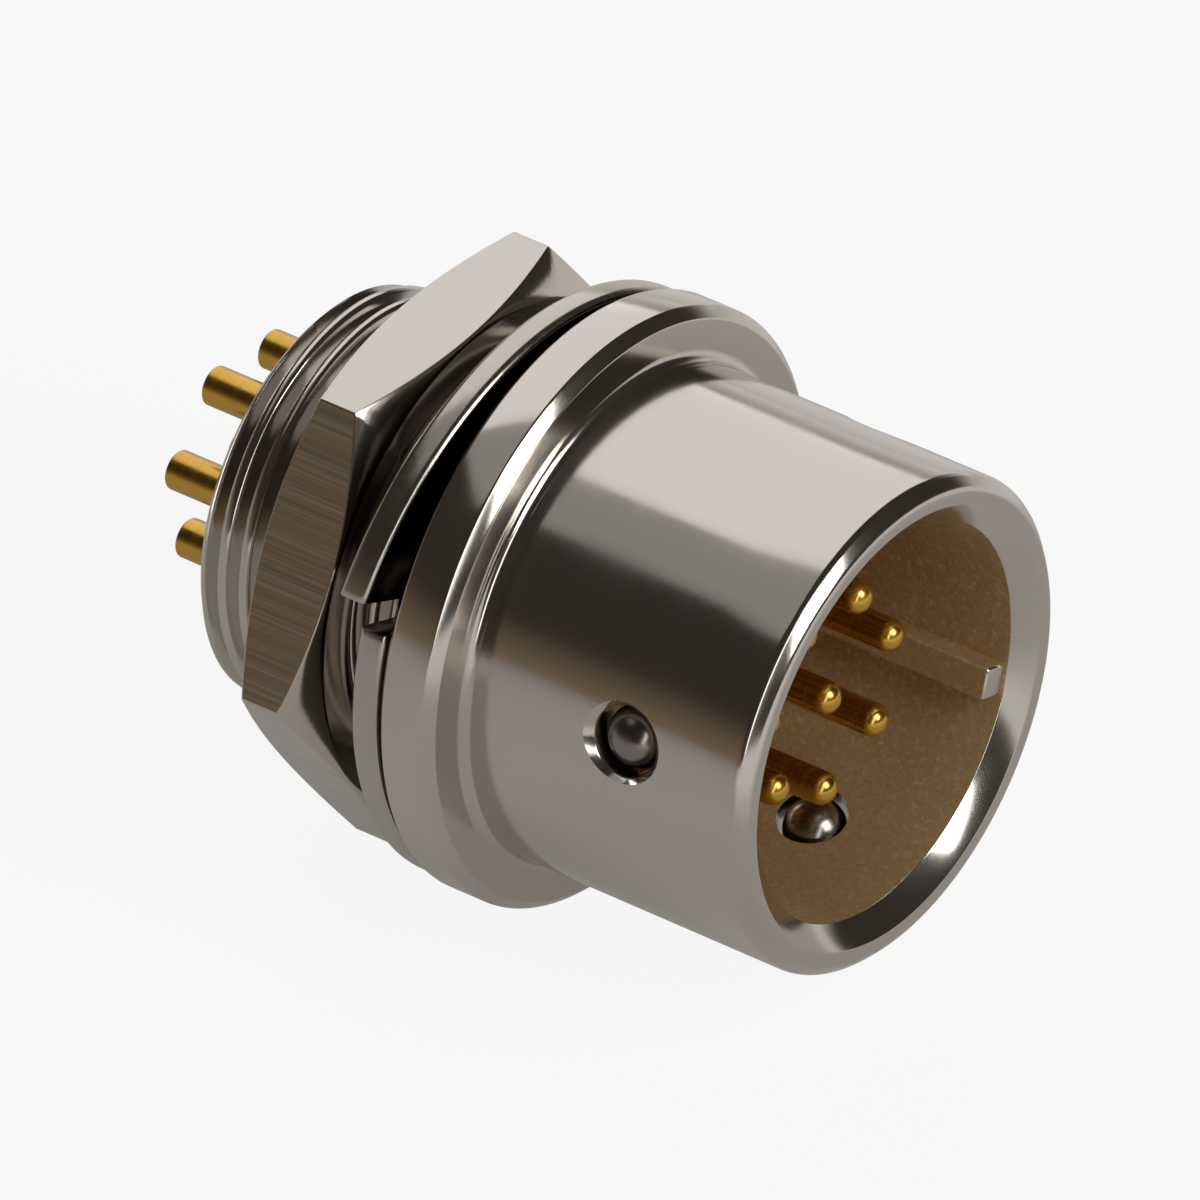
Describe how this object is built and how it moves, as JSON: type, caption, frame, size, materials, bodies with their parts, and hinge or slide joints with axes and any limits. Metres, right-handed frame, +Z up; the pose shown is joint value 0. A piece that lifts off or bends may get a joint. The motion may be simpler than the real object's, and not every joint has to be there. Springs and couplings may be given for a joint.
{
  "type": "circular connector receptacle",
  "caption": "Panel-mount circular connector with male contacts in a round nickel-plated barrel, clamped in a panel by a flange, a split spring washer and a thin hexagon nut on a fine thread.",
  "frame": {"origin": "on the axis, in the plane of the flange's rear face, which seats on the front of the panel", "axes": "+X along the axis towards the mating plug, +Z up as in the picture, +Y completing the right-handed set"},
  "size_m": [0.0233, 0.0182, 0.0182],
  "materials": {
    "nickel_plate": "polished nickel plate on turned brass",
    "gold_plate": "gold plate on turned copper alloy",
    "moulding": "dark brown moulded insulator",
    "spring_steel": "plated spring steel"
  },
  "bodies": {
    "receptacle": {"shell": "nickel_plate", "insulator_front": "moulding", "insulator_rear": "moulding", "retaining_ring": "spring_steel", "contact_1": "gold_plate", "contact_2": "gold_plate", "contact_3": "gold_plate", "contact_4": "gold_plate", "contact_5": "gold_plate", "contact_6": "gold_plate", "contact_7": "gold_plate", "contact_8": "gold_plate", "lock_ball_1": "spring_steel", "lock_ball_2": "spring_steel", "lock_ball_3": "spring_steel"},
    "washer": {"spring_washer": "spring_steel"},
    "nut": {"hex_nut": "nickel_plate"}
  },
  "joints": [
    {"name": "washer_slide", "type": "slide", "parent": "receptacle", "child": "washer", "axis": [1, 0, 0], "range_m": [-0.003, 0]},
    {"name": "nut_turn", "type": "hinge", "parent": "washer", "child": "nut", "pos_m": [0, 0, 0], "axis": [1, 0, 0], "range_deg": [-1440, 0]}
  ],
  "couplings": [
    {"joint": "washer_slide", "follows": "nut_turn", "m_per_rad": 0.00011937}
  ]
}
